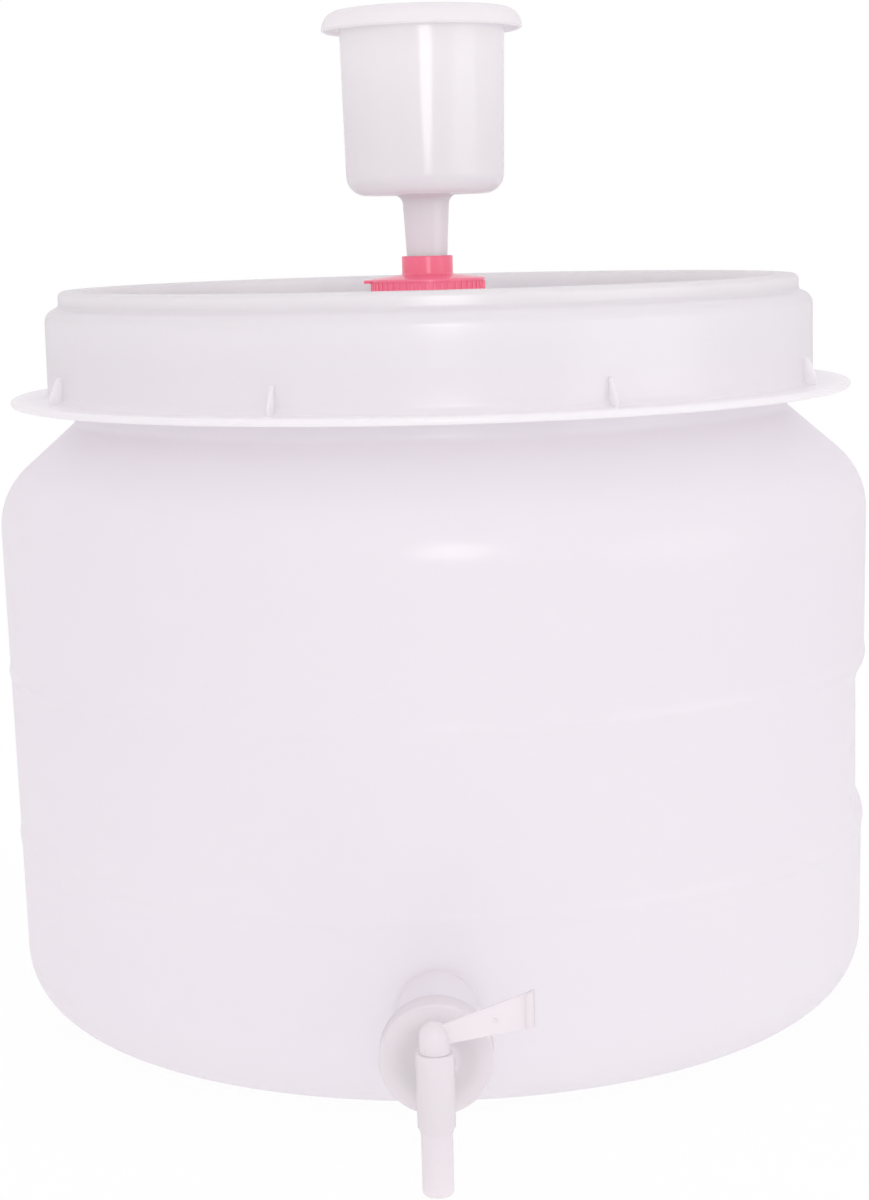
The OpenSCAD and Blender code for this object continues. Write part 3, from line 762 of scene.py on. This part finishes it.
@dataclass
class Tap:
    """The lever tap: a threaded collar, branch, valve housing and spout, and the turning plug."""

    height: float = 0.044
    collar: float = 0.0202
    collar_round: float = 0.0012
    collar_back: float = 0.2265
    back_round: float = 0.0008
    front: float = 0.238
    web: float = 0.0035
    thread_room: float = 0.0161
    thread_width: float = 0.0016
    thread_pitch: float = 0.0026
    thread_turns: float = 1.4
    thread_lead: float = 0.0004
    branch: float = 0.0066
    branch_fillet: float = 0.002
    branch_reach: float = 0.0039
    way: float = 0.0026
    spout_place: float = 0.261
    housing: float = 0.0065
    housing_top: float = 0.055
    housing_foot: float = 0.028
    housing_round: float = 0.0005
    chamfer: float = 0.0006
    step: float = 0.002
    plug: float = 0.0049
    plug_foot: float = 0.0325
    plug_bore: float = 0.0027
    plug_roof: float = 0.008
    gap: float = 0.00005
    spout: float = 0.00545
    spout_bore: float = 0.0035
    spout_tip: float = 0.0048
    tip_round: float = 0.0014
    tip_height: float = 0.0016
    head: float = 0.0053
    head_foot: float = 0.0552
    head_height: float = 0.0054
    lever_length: float = 0.0346
    lever_root: float = 0.0066
    lever_end: float = 0.0126
    lever_thick: float = 0.003
    lever_rise: float = 19.0
    lever_forward: float = 15.0
    lever_soften: float = 0.0007
    lever_start: float = 0.00159
    lip: float = 0.0024
    lip_thick: float = 0.0045
    lip_proud: float = 0.0002
    lip_soften: float = 0.0006
    gate: float = 0.0008
    gate_share: float = 0.63

    def build_body(self) -> bpy.types.Object:
        """Builds the collar, branch, valve housing and spout.

        Returns:
            The tap body's piece.
        """
        piece = Moulding("tap_housing")
        front = Matrix.Translation((0, 0, self.height)) @ Matrix.Rotation(math.radians(90), 4, "X")
        valve = Matrix.Translation((0, -self.spout_place, 0))
        seat = self.front - self.web
        lead = self.thread_lead
        room, back = self.thread_room, self.collar_back
        outline = [(self.way, seat), (room, seat), (room, back + lead), (room + lead, back)]
        bend = self.back_round
        outline += arc((self.collar - bend, back + bend), bend, -90, 0, 4)
        bend = self.collar_round
        outline += arc((self.collar - bend, self.front - bend), bend, 0, 90, 6)
        fillet = self.branch_fillet
        outline += arc((self.branch + fillet, self.front + fillet), fillet, 270, 180, 6)
        inner_end = self.spout_place - self.branch_reach
        outline += [(self.branch, inner_end), (self.way, inner_end)]
        piece.turn(outline, place=front, steps=96)
        piece.thread(room + lead, room - lead, self.thread_width, back + self.thread_pitch,
                     self.thread_pitch, self.thread_turns, place=front)
        bore = self.plug + self.gap
        floor = self.plug_foot - self.gap
        outline = [(bore, self.housing_top), (bore, floor), (self.spout_bore, floor)]
        outline += [(self.spout_bore, self.spout_tip)]
        tip = (self.spout - self.tip_round, self.spout_tip + self.tip_height)
        outline += arc(tip, self.tip_round, -60, 0, 6, height=self.tip_height)
        outline += [(self.spout, self.housing_foot - self.step)]
        outline += [(self.housing - self.chamfer, self.housing_foot)]
        outline += [(self.housing, self.housing_foot + self.step / 2)]
        bend = self.housing_round
        outline += arc((self.housing - bend, self.housing_top - bend), bend, 0, 90, 4)
        piece.turn(outline, place=valve, steps=96)
        return piece.cast("drum", TAP_PLASTIC, ["tap_body"])

    def build_plug(self) -> bpy.types.Object:
        """Builds the plug with its domed head and fan-shaped lever.

        Returns:
            The plug's piece.
        """
        piece = Moulding("tap_lever")
        place = Matrix.Translation((0, -self.spout_place, 0)) @ Matrix.Rotation(
            math.radians(-self.lever_forward), 4, "Z")
        middle = self.head_foot + self.head_height
        roof = middle - self.plug_roof
        outline = [(0.0, roof), (self.plug_bore, roof), (self.plug_bore, self.plug_foot)]
        outline += [(self.plug, self.plug_foot), (self.plug, self.head_foot), (self.head, self.head_foot)]
        outline += arc((0.0, middle), self.head, 0, 90, 14)
        piece.turn(outline, closed=False, place=place, steps=96)
        tip = middle + self.lever_length * math.tan(math.radians(self.lever_rise))
        start = self.lever_start
        share = start / self.lever_length
        half = (self.lever_root + (self.lever_end - self.lever_root) * share) / 2
        root = middle + (tip - middle) * share
        end = self.lever_length - self.lip / 4
        fan = [(start, root - half), (end, tip - self.lever_end / 2), (end, tip + self.lever_end / 2),
               (start, root + half)]
        piece.slab(fan, self.lever_thick, place, soften=self.lever_soften)
        back = self.lever_length - self.lip
        share = back / self.lever_length
        half = (self.lever_root + (self.lever_end - self.lever_root) * share) / 2 + self.lip_proud
        end = self.lever_end / 2 + self.lip_proud
        root = middle + (tip - middle) * share
        lip = [(back, root - half), (self.lever_length, tip - end), (self.lever_length, tip + end),
               (back, root + half)]
        piece.slab(lip, self.lip_thick, place, soften=self.lip_soften)
        out = self.lever_length * self.gate_share
        up = middle + (tip - middle) * self.gate_share
        front = Matrix.Rotation(math.radians(90), 4, "X")
        mark = place @ Matrix.Translation((out, -self.lever_thick / 2, up)) @ front
        dot, proud = self.gate, self.gate / 2
        button = [(0.0, -dot), (dot, -dot), (dot, proud), (0.0, proud)]
        piece.turn(button, closed=False, place=mark, steps=24)
        return piece.cast("tap_plug", TAP_PLASTIC, ["tap_plug"])


@dataclass
class Camera:
    """The camera as the photograph was taken, fitted to the drum's outline."""

    distance: float = 1.0461
    height: float = 0.3306
    aside: float = -0.0006
    azimuth: float = 0.95
    pitch: float = 8.77
    roll: float = -1.45
    focal_pixels: float = 2423.1
    sensor: float = 24.0
    sight: float = 60.0

    def build(self) -> None:
        """Sets the camera up and makes it the scene's."""
        lens = bpy.data.cameras.new("camera")
        lens.sensor_fit = "VERTICAL"
        lens.sensor_height = self.sensor
        lens.sensor_width = self.sensor * PHOTO_WIDTH / PHOTO_HEIGHT
        lens.lens = self.sensor * self.focal_pixels / PHOTO_HEIGHT
        lens.clip_end = self.sight
        camera = bpy.data.objects.new("camera", lens)
        camera.matrix_world = (
            Matrix.Rotation(math.radians(self.azimuth), 4, "Z")
            @ Matrix.Translation((self.aside, -self.distance, self.height))
            @ Matrix.Rotation(math.radians(90 - self.pitch), 4, "X")
            @ Matrix.Rotation(math.radians(self.roll), 4, "Z")
        )
        bpy.context.scene.collection.objects.link(camera)
        bpy.context.scene.camera = camera


@dataclass(frozen=True)
class Panel:
    """A soft light: its name, place, width and height, power in watts and colour."""

    name: str
    place: tuple[float, float, float]
    size: tuple[float, float]
    power: float
    colour: tuple[float, float, float]


@dataclass
class Studio:
    """A pale floor that fades into a white room, with a round lamp and two wide soft lights.

    The fade is given by two distances from the middle. The first lies below 0, so the floor is part
    white under the object already.
    """

    floor_radius: float = 4.0
    fade: tuple[float, float] = (-2.2, 0.6)
    floor_white: float = 0.93
    floor_glow: float = 1.0
    room_light: float = 0.955
    room_colour: tuple[float, float, float] = (1.0, 0.985, 0.995)
    panels: tuple[Panel, ...] = (
        Panel("lamp", (0.105, -1.1, 0.45), (0.34, 0.34), 1.15, (1.0, 1.0, 1.0)),
        Panel("left", (-1.65, -0.9, 0.25), (1.4, 0.8), 0.4, (1.0, 0.84, 0.92)),
        Panel("right", (1.65, -0.9, 0.25), (1.4, 0.8), 2.6, (0.95, 0.99, 1.0)),
    )
    look_at: Vector = field(default_factory=lambda: Vector((0, 0, 0.25)))

    def _light(self, panel: Panel) -> None:
        """Adds one soft light that faces the object.

        Args:
            panel: The light's name, place, size, power and colour.
        """
        lamp = bpy.data.lights.new(panel.name, "AREA")
        lamp.shape = "ELLIPSE"
        lamp.size, lamp.size_y = panel.size
        lamp.energy = panel.power
        lamp.color = panel.colour
        light = bpy.data.objects.new(panel.name, lamp)
        way = self.look_at - Vector(panel.place)
        turn = way.to_track_quat("-Z", "Y").to_matrix().to_4x4()
        light.matrix_world = Matrix.Translation(panel.place) @ turn
        bpy.context.scene.collection.objects.link(light)

    def _room(self) -> None:
        """Lights the scene from all round, with a white backdrop."""
        world = bpy.data.worlds.new("room")
        world.use_nodes = True
        tree = world.node_tree
        tree.nodes.clear()
        out = tree.nodes.new("ShaderNodeOutputWorld")
        seen = tree.nodes.new("ShaderNodeBackground")
        glow = tree.nodes.new("ShaderNodeBackground")
        glow.inputs["Color"].default_value = (*self.room_colour, 1.0)
        glow.inputs["Strength"].default_value = self.room_light
        seen.inputs["Color"].default_value = (1.0, 1.0, 1.0, 1.0)
        path = tree.nodes.new("ShaderNodeLightPath")
        mix = tree.nodes.new("ShaderNodeMixShader")
        tree.links.new(path.outputs["Is Camera Ray"], mix.inputs["Fac"])
        tree.links.new(glow.outputs["Background"], mix.inputs[1])
        tree.links.new(seen.outputs["Background"], mix.inputs[2])
        tree.links.new(mix.outputs["Shader"], out.inputs["Surface"])
        bpy.context.scene.world = world

    def _floor(self) -> None:
        """Lays the floor, which turns white away from the object."""
        disc = bmesh.new()
        bmesh.ops.create_circle(disc, cap_ends=True, segments=96, radius=self.floor_radius)
        mesh = bpy.data.meshes.new("floor")
        disc.to_mesh(mesh)
        disc.free()
        paint = bpy.data.materials.new("pale_floor")
        paint.use_nodes = True
        tree = paint.node_tree
        tree.nodes.clear()
        out = tree.nodes.new("ShaderNodeOutputMaterial")
        place = tree.nodes.new("ShaderNodeTexCoord")
        away = tree.nodes.new("ShaderNodeVectorMath")
        away.operation = "LENGTH"
        fade = tree.nodes.new("ShaderNodeMapRange")
        fade.interpolation_type = "SMOOTHSTEP"
        fade.inputs["From Min"].default_value, fade.inputs["From Max"].default_value = self.fade
        matt = tree.nodes.new("ShaderNodeBsdfDiffuse")
        matt.inputs["Color"].default_value = (self.floor_white, self.floor_white, self.floor_white, 1.0)
        white = tree.nodes.new("ShaderNodeEmission")
        white.inputs["Strength"].default_value = self.floor_glow
        mix = tree.nodes.new("ShaderNodeMixShader")
        tree.links.new(place.outputs["Object"], away.inputs[0])
        tree.links.new(away.outputs["Value"], fade.inputs["Value"])
        tree.links.new(fade.outputs["Result"], mix.inputs["Fac"])
        tree.links.new(matt.outputs["BSDF"], mix.inputs[1])
        tree.links.new(white.outputs["Emission"], mix.inputs[2])
        tree.links.new(mix.outputs["Shader"], out.inputs["Surface"])
        mesh.materials.append(paint)
        floor = bpy.data.objects.new("floor", mesh)
        bpy.context.scene.collection.objects.link(floor)

    def build(self) -> None:
        """Builds the room, the floor and the lights."""
        bpy.context.scene.view_settings.view_transform = "Standard"
        self._room()
        self._floor()
        for panel in self.panels:
            self._light(panel)


def main() -> None:
    """Builds the drum, its lid, cap, airlock and tap, and the studio round them."""
    logging.basicConfig(level=logging.INFO, format="%(name)s %(message)s")
    Drum().build()
    Lid().build()
    ScrewCap().build()
    AirlockCup().build()
    tap = Tap()
    tap.build_body()
    tap.build_plug()
    CLEAR_PLASTIC.dress("airlock_bell")
    for node in ("tap_washer", "plug_o_rings", "lid_seal", "cap_seal", "stem_seal"):
        RUBBER.dress(node)
    Camera().build()
    Studio().build()


if __name__ == "__main__":
    main()
